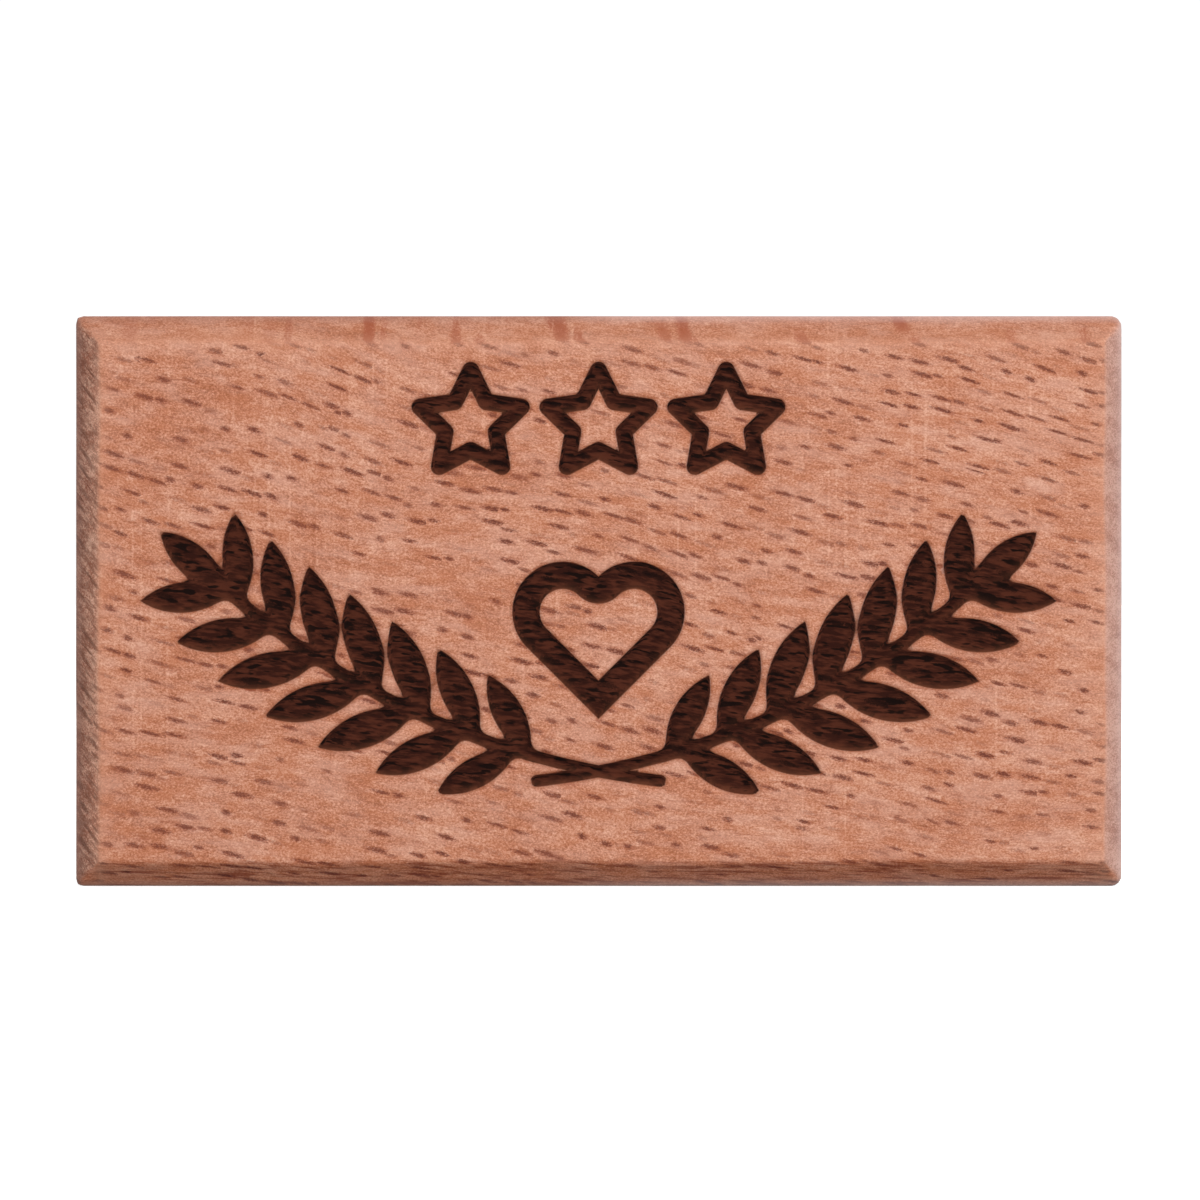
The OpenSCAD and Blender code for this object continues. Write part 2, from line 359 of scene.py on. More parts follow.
# One closed skin: the face's grid, the rings from its border to the hollow's floor, and a fan.
columns, rows = len(x_lines), len(z_lines)
numbers = np.arange(columns * rows).reshape(columns, rows)
border = round_the_border(numbers)
loop = len(border)
ring_first = columns * rows
ring_numbers = np.concatenate([border[None], ring_first
                               + np.arange(len(rings) * loop).reshape(-1, loop)])
ring_quads = ring_numbers.ravel()[grid_quads(len(rings) + 1, loop, closed=True)]
pole = ring_first + len(rings) * loop
last = ring_numbers[-1]
block_points = np.concatenate([face_points.reshape(-1, 3), np.concatenate(rings),
                               [[0, hollow_floor, heart_of_hollow]]])
face_quads = grid_quads(columns, rows, closed=False)
fan = np.stack([np.roll(last, -1), last, np.full(loop, pole)], -1)
block = make_piece("beech_block", block_points, np.concatenate([face_quads, ring_quads]), fan,
                   shade_below=75)


def paint_points(piece, name, values):
    """Stores one number for each point, for the material to read."""
    layer = piece.data.attributes.new(name, "FLOAT", "POINT")
    layer.data.foreach_set("value", np.asarray(values, np.float32))


# Marks for the material, each fading over its own width. The sides and the back count as 5 mm
# away from the outline, rim and creases. The rim, every crease but the lower one and the lower
# wall of each stroke carry painted highlights.
rim_highlight_fade, crease_highlight_fade, lower_wall_highlight_fade = 0.32, 0.7, 0.3
off_face = np.full(len(block_points) - columns * rows, 5.0)
paint_points(block, "outline", np.concatenate([outline.ravel(), off_face]))
from_rim = np.concatenate([edge_distance.ravel(), off_face])
paint_points(block, "rim", np.exp(-from_rim / rim_highlight_fade))
left, right, _, top = past_creases(grid_x, grid_z)
from_crease = np.abs(np.maximum.reduce([left, right, top])).ravel()
from_crease = np.concatenate([from_crease, off_face])
paint_points(block, "crease", np.exp(-from_crease / crease_highlight_fade))
downhill = -slope_of(distance_to_motif, grid_x, grid_z, 0.05)[1]
lower_wall_painted_highlight = np.clip(downhill, 0, 1) * np.exp(-np.abs(outline) / lower_wall_highlight_fade)
paint_points(block, "lower_wall_painted_highlight", np.concatenate([lower_wall_painted_highlight.ravel(), 0 * off_face]))
normals = np.zeros(len(block_points) * 3, np.float32)
block.data.vertices.foreach_get("normal", normals)
paint_points(block, "end_grain", np.abs(normals[::3]))
paint_points(block, "upward", np.clip(normals[2::3], 0, 1))
paint_points(block, "downward", np.clip(-normals[2::3], 0, 1) * np.append(
    np.full(columns * rows, 1.0), 0 * off_face))
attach(block, "root")
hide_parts("plaque_block")


# ---- The block: its wood ---------------------------------------------------------------------
# Bare beech, worked out as a solid: the grain runs along the width and a little downhill, and
# the growth rings lean back, so that the rays are flecks on the face, patches on the upper bevel
# and slanting lines on the end grain. The laser has charred the engraving dark brown.


def shade(red, green, blue):
    """A colour as the eye sees it, each part from 0 to 255, as the light that it reflects."""
    seen = np.array([red, green, blue]) / 255
    light = np.where(seen <= 0.04045, seen / 12.92, ((seen + 0.055) / 1.055) ** 2.4)
    return (*light.tolist(), 1.0)


class Finish:
    """A material and the steps that work out its colour, roughness and relief."""

    def __init__(self, name):
        self.material = bpy.data.materials.new(name)
        self.material.use_nodes = True
        self.tree = self.material.node_tree
        self.surface = self.tree.nodes["Principled BSDF"]

    def step(self, kind, inputs, output=0, **settings):
        """One node. Each input is a number, a colour or the result of an earlier step."""
        made = self.tree.nodes.new("ShaderNode" + kind)
        for key, value in settings.items():
            setattr(made, key, value)
        for socket, value in inputs.items():
            self.feed(made.inputs[socket], value)
        return made.outputs[output]

    def feed(self, socket, value):
        if isinstance(value, bpy.types.NodeSocket):
            self.tree.links.new(value, socket)
        else:
            socket.default_value = value

    def sum(self, a, b):
        return self.step("Math", {0: a, 1: b}, operation="ADD")

    def less(self, a, b):
        return self.step("Math", {0: a, 1: b}, operation="SUBTRACT")

    def times(self, a, b):
        return self.step("Math", {0: a, 1: b}, operation="MULTIPLY")

    def over(self, a, b):
        return self.step("Math", {0: a, 1: b}, operation="DIVIDE")

    def along(self, place, direction):
        """How far a place lies along a direction."""
        return self.step("VectorMath", {0: place, 1: tuple(direction)}, "Value",
                         operation="DOT_PRODUCT")

    def join(self, x, y, z):
        return self.step("CombineXYZ", {0: x, 1: y, 2: z})

    def noise(self, place, detail=1.0, roughness=0.5):
        """Smooth random values about 0.5, in lumps about as wide as one unit of place."""
        return self.step("TexNoise", {"Vector": place, "Scale": 1.0, "Detail": detail,
                                      "Roughness": roughness})

    def rise(self, value, start, end, low=0.0, high=1.0):
        """A smooth step from low to high as the value goes from start to end."""
        return self.step("MapRange", {0: value, 1: start, 2: end, 3: low, 4: high},
                         interpolation_type="SMOOTHSTEP")

    def blend(self, share, a, b, how="MIX"):
        return self.step("Mix", {0: share, 6: a, 7: b}, 2, data_type="RGBA", blend_type=how)

    def attribute(self, name):
        return self.step("Attribute", {}, "Fac", attribute_name=name)

    def enlarged(self, place, factor):
        return self.step("VectorMath", {0: place, "Scale": factor}, operation="SCALE")

    def millimetres(self):
        """Where a spot lies on the plaque, in millimetres."""
        return self.enlarged(self.step("TexCoord", {}, "Object"), 1000.0)

    def relief(self, height, depth):
        """Turns a height from 0 to 1 into small relief of this many millimetres."""
        bump = self.step("Bump", {"Height": height, "Distance": depth / 1000, "Strength": 1.0})
        self.feed(self.surface.inputs["Normal"], bump)


beech = Finish("engraved_beech")
fall = np.radians(7.5)
fibre = np.array([np.cos(fall), 0, -np.sin(fall)])
radial = np.array([0, 0.743, 0.669])         # across the rings: back, and 42 degrees upwards
radial = radial - fibre * (radial @ fibre)
radial = radial / np.linalg.norm(radial)
ringwise = np.cross(fibre, radial)

# The grain falls away more steeply towards the upper edge, and wanders a little.
steepening, middle_height, wander_length = 0.0016, 30, 28
wander_across, wander_inward = 2.4, 3.0
spot = beech.millimetres()
part = beech.step("SeparateXYZ", {0: spot}).node.outputs
bend = beech.times(beech.times(part[0], beech.less(part[2], middle_height)), steepening)
bent = beech.step("VectorMath", {0: spot, 1: beech.join(0.0, 0.0, bend)}, operation="ADD")
drift = beech.less(beech.noise(beech.enlarged(spot, 1 / wander_length), 1.0), 0.5)
along = beech.along(bent, fibre)
across = beech.sum(beech.along(bent, ringwise), beech.times(drift, wander_across))
inward = beech.sum(beech.along(bent, radial), beech.times(drift, wander_inward))


def grain(length, width, depth, detail=2.0, roughness=0.5):
    """Random values in lumps of this length along the fibre, and width and depth across it."""
    return beech.noise(beech.join(beech.over(along, length), beech.over(across, width),
                                  beech.over(inward, depth)), detail, roughness)


# Rays: one spindle to each cell of a loose lattice, tilted 6 degrees to its row.
pitch_along, pitch_across, pitch_inward = 2.5, 1.42, 13.0
lattice = beech.join(beech.over(along, pitch_along), beech.over(across, pitch_across),
                     beech.over(inward, pitch_inward))
cells = beech.step("TexVoronoi", {"Vector": lattice, "Scale": 1.0, "Randomness": 0.66}, "Position")
cell_values = beech.step("SeparateColor", {0: cells.node.outputs["Color"]}).node.outputs
away = beech.step("VectorMath", {0: lattice, 1: cells}, operation="SUBTRACT")
away = beech.step("SeparateXYZ", {0: away}).node.outputs
away_along = beech.times(away[0], pitch_along)
away_across = beech.times(away[1], pitch_across)
tilt = np.radians(6)
ray_along = beech.less(beech.times(away_along, np.cos(tilt)),
                       beech.times(away_across, np.sin(tilt)))
ray_across = beech.sum(beech.times(away_along, np.sin(tilt)),
                       beech.times(away_across, np.cos(tilt)))
ray_length = beech.rise(cell_values[0], 0, 1, 0.5, 1.2)
ray_width = beech.rise(cell_values[2], 0, 1, 0.13, 0.2)
ray_form = beech.sum(
    beech.step("Math", {0: beech.over(ray_along, ray_length), 1: 2.0}, operation="POWER"),
    beech.step("Math", {0: beech.over(ray_across, ray_width), 1: 2.0}, operation="POWER"))
ragged = beech.less(grain(0.26, 0.1, 0.3, 2.0, 0.8), 0.5)
ray_form = beech.sum(ray_form, beech.times(ragged, 6.0))
ray_depth = beech.rise(beech.step("Math", {0: away[2]}, operation="ABSOLUTE"), 0.5, 0.3)
ray_strength = beech.times(ray_depth, beech.rise(cell_values[1], 0.05, 0.5, 0.2, 1.0))
ray_core = beech.times(beech.rise(ray_form, 1.1, 0.0), ray_strength)
ray_halo = beech.times(beech.rise(ray_form, 2.6, 0.3), ray_strength)

# The tone: a fine mottle, short fibres, longer flames, soft clouds and the growth rings, which
# are further apart in some years and show more on the end grain.
ring_spacing = 3.1
mottle = grain(0.24, 0.17, 0.17, 2.0, 0.8)
fibres = grain(0.9, 0.2, 0.2, 2.0, 0.6)
flame = grain(2.2, 0.9, 0.9, 2.0, 0.6)
clouds = grain(15.0, 6.0, 6.0, 1.0)
end_grain = beech.attribute("end_grain")
upward = beech.attribute("upward")
season = beech.noise(beech.join(0.0, 0.0, beech.over(inward, 7.0)), 0.0)
ring = beech.step("Math", {0: beech.sum(beech.over(inward, ring_spacing), season)}, operation="FRACT")
ring = beech.rise(beech.step("Math", {0: beech.less(ring, 0.62)}, operation="ABSOLUTE"), 0.34, 0.0)
tone = beech.sum(beech.times(beech.less(mottle, 0.5), 2.1), beech.times(beech.less(fibres, 0.5), 0.5))
tone = beech.sum(tone, beech.times(beech.less(flame, 0.5), 0.75))
tone = beech.sum(tone, beech.times(beech.less(clouds, 0.5), 0.5))
tone = beech.less(tone, beech.times(ring, beech.rise(end_grain, 0.2, 0.9, 0.05, 0.16)))

# Faint pale lines across the grain, where the planer's knives have skipped.
skip = beech.noise(beech.join(beech.over(part[0], 0.45), 0.0, beech.over(part[2], 90.0)), 0.0)
skip = beech.times(beech.rise(skip, 0.62, 0.8), beech.rise(
    beech.noise(beech.join(beech.over(part[0], 9.0), 0.0, beech.over(part[2], 14.0)), 1.0),
    0.4, 0.62))
skip = beech.times(skip, beech.rise(end_grain, 0.3, 0.0))
tone = beech.sum(beech.sum(tone, beech.times(skip, 0.17)), 0.53)

# The colour: the tone's browns, then patches of pink and of orange, red fibres, and the rays,
# which are soft patches on the upper bevel and leave the end grain alone. Last, the lower bevel
# is darkened in streaks: the streaks vary its tone, and the darkening is painted shade.
wood = beech.step("ValToRGB", {0: tone})
stops = wood.node.color_ramp.elements
stops[0].position, stops[0].color = 0.0, shade(158, 89, 57)
stops[1].position, stops[1].color = 1.0, shade(238, 185, 159)
stops.new(0.5).color = shade(206, 135, 104)
hue = grain(4.5, 1.6, 1.6, 3.0, 0.6)
wood = beech.blend(beech.rise(hue, 0.42, 0.75, 0.0, 0.45), wood, shade(222, 170, 150))
wood = beech.blend(beech.rise(hue, 0.55, 0.25, 0.0, 0.45), wood, shade(198, 118, 78))
red_fibre = beech.rise(grain(5.0, 0.16, 0.2, 1.0), 0.60, 0.78, 0.0, 0.4)
wood = beech.blend(red_fibre, wood, shade(176, 100, 74))
on_side_grain = beech.rise(end_grain, 0.2, 0.6, 1.0, 0.0)
halo_share = beech.times(ray_halo, beech.rise(upward, 0.1, 0.6, 0.62, 0.9))
core_share = beech.times(ray_core, beech.rise(upward, 0.1, 0.6, 0.8, 0.12))
core_share = beech.times(core_share, beech.rise(clouds, 0.35, 0.65, 0.72, 1.0))
halo_share = beech.times(halo_share, on_side_grain)
core_share = beech.times(core_share, on_side_grain)
wood = beech.blend(halo_share, wood, beech.blend(upward, shade(156, 80, 56), shade(190, 100, 66)))
wood = beech.blend(core_share, wood, shade(100, 46, 36))
# Painted shade on the bevel that faces down, darker in streaks.
lower_bevel_streaks_and_shade = beech.blend(beech.rise(grain(7.0, 0.4, 0.4, 2.0, 0.6), 0.46, 0.68),
                        shade(255, 242, 232), shade(190, 150, 134))
wood = beech.blend(beech.rise(beech.attribute("downward"), 0.1, 0.6), wood, lower_bevel_streaks_and_shade, "MULTIPLY")

# End grain: paler and greyer, with pores like pinpricks; the right-hand end's greyish pink is
# partly painted sheen. The left-hand end is soiled and shows its rays, and its bevel has painted
# shade, darker towards its outer edge. The right-hand end's rays are faint.
pores = beech.step("TexVoronoi", {"Vector": spot, "Scale": 3.6}, "Distance")
pores = beech.rise(pores, 0.42, 0.12)
left_end = beech.rise(part[0], 5.0, -5.0)
soiled = beech.times(beech.rise(grain(2.0, 0.5, 1.4, 3.0, 0.7), 0.42, 0.62), left_end)
# On the right-hand end both colours are a greyish pink that is partly painted sheen.
end_dark = beech.blend(left_end, shade(162, 114, 102), shade(184, 114, 90))
end_pale = beech.blend(left_end, shade(212, 172, 160), shade(255, 204, 178))
end_wood = beech.blend(beech.rise(tone, 0.12, 0.76), end_dark, end_pale)
end_wood = beech.blend(beech.times(pores, 0.35), end_wood, shade(124, 76, 60))
end_wood = beech.blend(beech.times(soiled, 0.72), end_wood, shade(116, 64, 48))
long_rays = beech.rise(grain(3.0, 0.34, 5.0, 1.0), 0.62, 0.72)
end_rays = beech.step("Math", {0: ray_halo, 1: long_rays}, operation="MAXIMUM")
end_rays = beech.times(end_rays, beech.rise(left_end, 0.0, 1.0, 0.16, 0.85))
end_wood = beech.blend(end_rays, end_wood, shade(92, 46, 34))
# Painted shade on the left-hand bevel, darker towards its outer edge.
left_bevel_painted_shade = beech.times(beech.rise(part[0], low[0] + bevel_left, low[0], 0.0, 0.75),
                      beech.rise(end_grain, 0.98, 0.8))
end_wood = beech.blend(left_bevel_painted_shade, end_wood, shade(168, 158, 158), "MULTIPLY")
# Painted shade: surfaces that face up are darkened a little, the more the more they face up.
wood = beech.blend(beech.times(upward, 0.5), wood, shade(236, 230, 226), "MULTIPLY")
wood = beech.blend(beech.rise(end_grain, 0.2, 0.66, 0.0, 0.82), wood, end_wood)
# Painted highlight: a pale band along the left, right and upper creases.
wood = beech.blend(beech.times(beech.attribute("crease"), 0.36), wood, shade(226, 166, 138))
# Painted highlight along the rounded rim: pinkish grey, duller on the left-hand end.
rim_painted_highlight = beech.blend(left_end, shade(226, 196, 190), shade(176, 134, 122))
wood = beech.blend(beech.times(beech.attribute("rim"), 0.7), wood, rim_painted_highlight)

# The burn: a thin scorched band outside the outline, and dark char with blacker flecks inside.
outline_distance = beech.attribute("outline")
burnt = beech.rise(outline_distance, 0.06, -0.08)
scorch = beech.rise(outline_distance, 0.42, 0.0, 0.0, 0.42)
wood = beech.blend(scorch, wood, shade(146, 76, 46))
streak = grain(2.0, 0.36, 0.6, 2.0, 0.6)
char = beech.blend(beech.rise(streak, 0.36, 0.62), shade(84, 41, 27), shade(50, 20, 12))
flecks = beech.rise(grain(1.8, 0.36, 0.8, 2.0, 0.4), 0.54, 0.64)
char = beech.blend(flecks, char, shade(20, 6, 3))
char = beech.blend(beech.times(ray_halo, 0.85), char, shade(18, 5, 3))
# Painted highlight: a paler brown along the lower wall of each stroke, which faces up towards the
# lamp.
char = beech.blend(beech.times(beech.attribute("lower_wall_painted_highlight"), 0.8), char, shade(108, 62, 42))
beech.feed(beech.surface.inputs["Base Color"], beech.blend(burnt, wood, char))
beech.feed(beech.surface.inputs["Roughness"], beech.rise(burnt, 0, 1, 0.55, 0.95))
beech.surface.inputs["Specular IOR Level"].default_value = 0.12
height = beech.less(beech.times(mottle, 0.7), beech.times(ray_core, 0.4))
height = beech.sum(height, beech.times(beech.times(streak, burnt), 1.2))
beech.relief(height, 0.05)
block.data.materials.append(beech.material)


# ---- The keyhole hanger ----------------------------------------------------------------------
# A strip of rolled steel 1.5 mm thick with round ends, stamped, zinc plated and let flush into
# the back. A wall screw's head goes in at its round hole, and its shank slides up the slot.

lip = 0.12                # rounding that the press and the plating leave on every edge
inner_chamfer = 0.04      # along every edge of the plate's hidden side
head_slope = 1.4          # how far each 90 degree countersink narrows on its way in
plate_cell = 0.3          # spacing of the flat's grid
wear_width = 0.35         # over which the wear along an edge fades
screw_nodes = ("screw_upper", "screw_lower")
screw_boxes = [np.array(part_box(node)) * 1000 for node in screw_nodes]
screw_heights = [(corners[0][2] + corners[1][2]) / 2 for corners in screw_boxes]
head_radius = screw_boxes[0][1][0]


def distance_to_slot(x, z, ends, radius):
    """Distance to an upright slot with round ends: to its middle line, less its radius."""
    return np.hypot(x, z - np.clip(z, *ends)) - radius


def distance_to_plate(x, z):
    """Distance to the flat of the plate, negative on it: the strip, less the keyhole and the
    two countersinks, less the rounding along every edge."""
    strip = distance_to_slot(x, z, plate_ends, plate_half_width)
    keyhole = np.minimum(np.hypot(x, z - entry_height) - entry_radius,
                         distance_to_slot(x, z, hollow_ends, slot_half_width))
    sinks = [head_radius - np.hypot(x, z - height) for height in screw_heights]
    return np.maximum.reduce([strip, -keyhole, *sinks]) + lip


def cut_from_grid(distance, x_lines, z_lines):
    """Keeps the cells of a flat grid whose middles lie inside an outline, and draws the corners
    along their free edges, which no second cell shares, onto it. Returns the places, the cells,
    the free edges and their corners."""
    x, z = (grid.ravel() for grid in np.meshgrid(x_lines, z_lines, indexing="ij"))
    cells = grid_quads(len(x_lines), len(z_lines), closed=False)
    cells = cells[distance(x[cells].mean(1), z[cells].mean(1)) < 0]
    used = np.unique(cells)
    x, z, cells = x[used], z[used], np.searchsorted(used, cells)
    edges = np.concatenate([cells[:, [k, (k + 1) % 4]] for k in range(4)])
    one_way, other_way = edges @ [len(x), 1], edges @ [1, len(x)]
    free_edges = edges[~np.isin(one_way, other_way)]
    free = np.unique(free_edges)
    x[free], z[free] = draw_to_outline(distance, x[free], z[free], 1.0)
    return x, z, cells, free_edges, free


def lines_through(start, end, cell):
    """Evenly spaced grid lines from start to end, about one cell apart."""
    return np.linspace(start, end, round((end - start) / cell) + 1)


plate_x, plate_z, plate_cells, free_edges, free = cut_from_grid(
    distance_to_plate,
    lines_through(-plate_half_width - plate_cell, plate_half_width + plate_cell, plate_cell),
    lines_through(plate_low[2] - plate_cell, plate_high[2] + plate_cell, plate_cell))
out_x, out_z = slope_of(distance_to_plate, plate_x[free], plate_z[free])
straight = np.hypot(out_x, out_z)
out_x, out_z = out_x / straight, out_z / straight
at_sink = np.minimum.reduce([np.hypot(plate_x[free], plate_z[free] - height)
                             for height in screw_heights]) < head_radius + 2 * lip

# Each edge goes round its lip and down through the plate, straight or as a countersink.
bend_round = np.radians([30, 60, 90])
plain_out = np.array([*(lip * np.sin(bend_round)), lip, lip - inner_chamfer])
plain_in = np.array([*(lip * (1 - np.cos(bend_round))), plate_thickness - inner_chamfer,
                     plate_thickness])
sink_out = lip + np.array([-0.6 * lip, 0, head_slope / 2, head_slope, head_slope])
sink_in = np.array([0.01, 0.05, head_slope / 2, head_slope, plate_thickness])
outset = np.where(at_sink, sink_out[:, None], plain_out[:, None])
inset = np.where(at_sink, sink_in[:, None], plain_in[:, None])
edge_rings = np.stack([plate_x[free] + outset * out_x, back - inset,
                       plate_z[free] + outset * out_z], -1)
count = len(plate_x)
flat = np.stack([plate_x, np.full(count, back), plate_z], -1)
plate_points = np.concatenate([flat, flat - [0, plate_thickness, 0], edge_rings.reshape(-1, 3)])
ring_start = 2 * count + np.arange(len(plain_out))[:, None] * len(free)
ring_of = np.concatenate([free[None], ring_start + np.arange(len(free)), count + free[None]])
one, two = np.searchsorted(free, free_edges).T
walls = np.stack([ring_of[:-1, two], ring_of[:-1, one], ring_of[1:, one], ring_of[1:, two]], -1)
plate = make_piece("hanger_plate", plate_points, np.concatenate(
    [plate_cells, count + plate_cells[:, ::-1], walls.reshape(-1, 4)]), shade_below=40)
near_edge = distance_to_plate(plate_points[:, 0], plate_points[:, 2])
paint_points(plate, "wear", np.exp(-np.abs(near_edge) / wear_width))
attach(plate, "root")
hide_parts("keyhole_plate")

steel = Finish("zinc_on_rolled_steel")
spot = steel.millimetres()
part = steel.step("SeparateXYZ", {0: spot}).node.outputs
rolled = steel.noise(steel.join(steel.over(part[0], 0.07), steel.over(part[1], 0.07),
                                steel.over(part[2], 3.5)), 3.0, 0.6)
bloom = steel.noise(steel.enlarged(spot, 0.45), 3.0, 0.6)
speck = steel.noise(steel.enlarged(spot, 4.0), 2.0, 0.7)
scratch = steel.noise(steel.join(steel.over(steel.sum(part[0], steel.times(part[2], 0.5)), 0.05), 0.0,
                                 steel.over(part[2], 6.0)), 0.0)
scratch = steel.times(steel.rise(scratch, 0.74, 0.84), steel.rise(bloom, 0.45, 0.6))
wear = steel.attribute("wear")
zinc = steel.blend(steel.rise(rolled, 0.3, 0.7), shade(150, 152, 156), shade(190, 192, 196))
zinc = steel.blend(steel.rise(bloom, 0.42, 0.7, 0.0, 0.55), zinc, shade(172, 168, 158))
zinc = steel.blend(steel.rise(speck, 0.6, 0.74, 0.0, 0.4), zinc, shade(112, 112, 114))
zinc = steel.blend(steel.times(wear, 0.5), zinc, shade(214, 214, 216))
zinc = steel.blend(steel.times(scratch, 0.6), zinc, shade(226, 226, 228))
steel.feed(steel.surface.inputs["Base Color"], zinc)
steel.surface.inputs["Metallic"].default_value = 1.0
rough = steel.sum(steel.rise(rolled, 0.3, 0.7, 0.42, 0.3), steel.rise(bloom, 0.4, 0.7, 0.0, 0.12))
steel.feed(steel.surface.inputs["Roughness"], steel.less(rough, steel.times(wear, 0.08)))
steel.relief(steel.less(rolled, steel.times(scratch, 0.6)), 0.012)
plate.data.materials.append(steel.material)


# ---- The hanger's two screws -----------------------------------------------------------------
# Countersunk wood screws 12 mm long with a cross recess, rolled from steel wire, plated with
# yellow zinc and driven through the plate into the block until their heads are flush.

screw_length = screw_boxes[0][1][1] - screw_boxes[0][0][1]
thread_radius, core_radius, thread_pitch = 1.5, 1.1, 1.35
thread_start, point_start = 2.0, 8.75
neck_radius, neck_end, neck_fade = thread_radius - 0.15, 1.7, 0.5
recess_reach, recess_half_arm, recess_floor, recess_depth = 1.6, 0.4, 0.4, 1.1
ridge_half_width = 0.34   # of the thread, as a share of its pitch
turn_count = 96           # points in each row round the axis
flat_rows, shaft_rows = 27, 104


def distance_to_cross(u, v):
    """Distance to the nearer arm of the cross, negative within the arm's width."""
    return np.minimum(np.abs(u), np.abs(v)) - recess_half_arm


def close_round(name, points, first, last, shade_below):
    """A skin whose rows run round an axis, closed at each end by a fan to a pole."""
    rows, columns = points.shape[:2]
    column = np.arange(columns)
    after, end = (column + 1) % columns, (rows - 1) * columns
    poles = rows * columns + np.zeros(columns, int)
    fans = np.concatenate([np.stack([poles, column, after], -1),
                           np.stack([poles + 1, end + after, end + column], -1)])
    quads = grid_quads(rows, columns, closed=True)
    return make_piece(name, np.concatenate([points.reshape(-1, 3), [first, last]]),
                      quads, fans, shade_below)


def screw_skin(height, start):
    """Rows round the screw's axis: the flat of the head with its recess, the rounded rim, the cone
    under it, a smooth neck, and a thread whose ridge climbs one pitch a turn and dies out at the
    point. Points less than half a step from the recess's edge are drawn onto it."""
    turn_step = 2 * np.pi / turn_count
    turn = turn_step * np.arange(turn_count)[None, :]
    reach = np.linspace(0.1, head_radius - 0.14, flat_rows)[:, None]
    u, v = reach * np.sin(turn), reach * np.cos(turn)
    half_gap = 0.5 * turn_step * np.maximum(np.abs(u), np.abs(v))
    u, v = draw_to_outline(distance_to_cross, u, v, half_gap)
    radius = np.hypot(u, v)
    cone = (recess_reach - radius) * recess_depth / (recess_reach - recess_floor)
    wall = np.clip(-distance_to_cross(u, v) / 0.1, 0, 1)
    sunk = np.clip(cone, 0, recess_depth) * wall
    rim = np.array([[0.08, 0.005], [0.04, 0.03], [0.03, 0.08]])       # in from the edge, and down
    reach = np.concatenate([head_radius - rim[:, 0], [thread_radius + 0.02, thread_radius - 0.1]])
    depth = np.concatenate([rim[:, 1], [head_slope, head_slope + 0.2]])
    s = np.linspace(head_slope + 0.3, screw_length - 0.02, shaft_rows)[:, None]
    slim = np.clip((screw_length - s) / (screw_length - point_start), 0, 1)
    phase = (s / thread_pitch + turn / (2 * np.pi) + start) % 1
    ridge = np.clip(1 - np.abs(phase - 0.5) / ridge_half_width, 0, 1) ** 1.3
    grow = np.clip((s - thread_start + 0.3) / 0.8, 0, 1)
    at_neck = np.clip(1 - (s - neck_end) / neck_fade, 0, 1)
    neck = core_radius + (neck_radius - core_radius) * at_neck
    shaft = slim * neck + (thread_radius - core_radius) * ridge * grow * slim ** 0.6
    u = np.concatenate([u, reach[:, None] * np.sin(turn), shaft * np.sin(turn)])
    v = np.concatenate([v, reach[:, None] * np.cos(turn), shaft * np.cos(turn)])
    depth = np.concatenate([sunk, depth[:, None] + 0 * turn, s + 0 * turn])
    return np.stack([u, back - depth, height + v], -1)


def brushed_zinc(name, plain, tinted):
    """Yellow zinc over steel wire: fine streaks, blotches of tint, dull specks, and a darker brown
    the further a point lies in from the head's face."""
    finish = Finish(name)
    spot = finish.millimetres()
    blotch = finish.noise(finish.enlarged(spot, 0.8), 3.0, 0.6)
    fine = finish.noise(finish.enlarged(spot, 7.0), 2.0, 0.7)
    part = finish.step("SeparateXYZ", {0: spot}).node.outputs
    lines = finish.noise(finish.join(finish.over(part[0], 1.2), finish.over(part[1], 0.06),
                                     finish.over(part[2], 0.09)), 2.0, 0.6)
    colour = finish.blend(finish.rise(blotch, 0.35, 0.65), plain, tinted)
    colour = finish.blend(finish.rise(fine, 0.58, 0.75, 0.0, 0.5), colour, shade(104, 96, 82))
    colour = finish.blend(finish.times(finish.attribute("darker_with_depth"), 0.7), colour, shade(58, 50, 42))
    finish.feed(finish.surface.inputs["Base Color"], colour)
    finish.surface.inputs["Metallic"].default_value = 1.0
    finish.feed(finish.surface.inputs["Roughness"], finish.rise(lines, 0.3, 0.7, 0.24, 0.42))
    finish.relief(lines, 0.012)
    return finish.material


yellow_zinc = brushed_zinc("yellow_zinc", shade(206, 198, 176), shade(202, 180, 132))
thread_starts, spins = (0.0, 0.4), np.radians([-12, 31])      # no two screws stop at the same turn
for node, height, start, spin in zip(screw_nodes, screw_heights, thread_starts, spins):
    skin = screw_skin(height, start)
    u, v = skin[..., 0].copy(), skin[..., 2] - height
    skin[..., 0] = u * np.cos(spin) - v * np.sin(spin)
    skin[..., 2] = height + u * np.sin(spin) + v * np.cos(spin)
    screw = close_round(node + "_turned", skin, (0, back - recess_depth, height),
                        (0, back - screw_length, height), 35)
    sunk = np.clip((back - skin[..., 1]) / recess_depth, 0, 1).ravel()
    paint_points(screw, "darker_with_depth", np.concatenate([sunk, [1, 1]]))
    screw.data.materials.append(yellow_zinc)
    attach(screw, "root")
    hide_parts(node)


# ---- The four wall bumpers -------------------------------------------------------------------
# Moulded rubber discs, 9 mm across and 2 mm thick, stuck near the corners of the back so that
# the plaque hangs clear of the wall. Each has a rounded rim, a groove and a dimple at its middle.

bumper_edge = 0.6
dimple_radius, dimple_depth = 0.7, 0.16
groove_radius, groove_half_width, groove_depth = 2.6, 0.25, 0.07


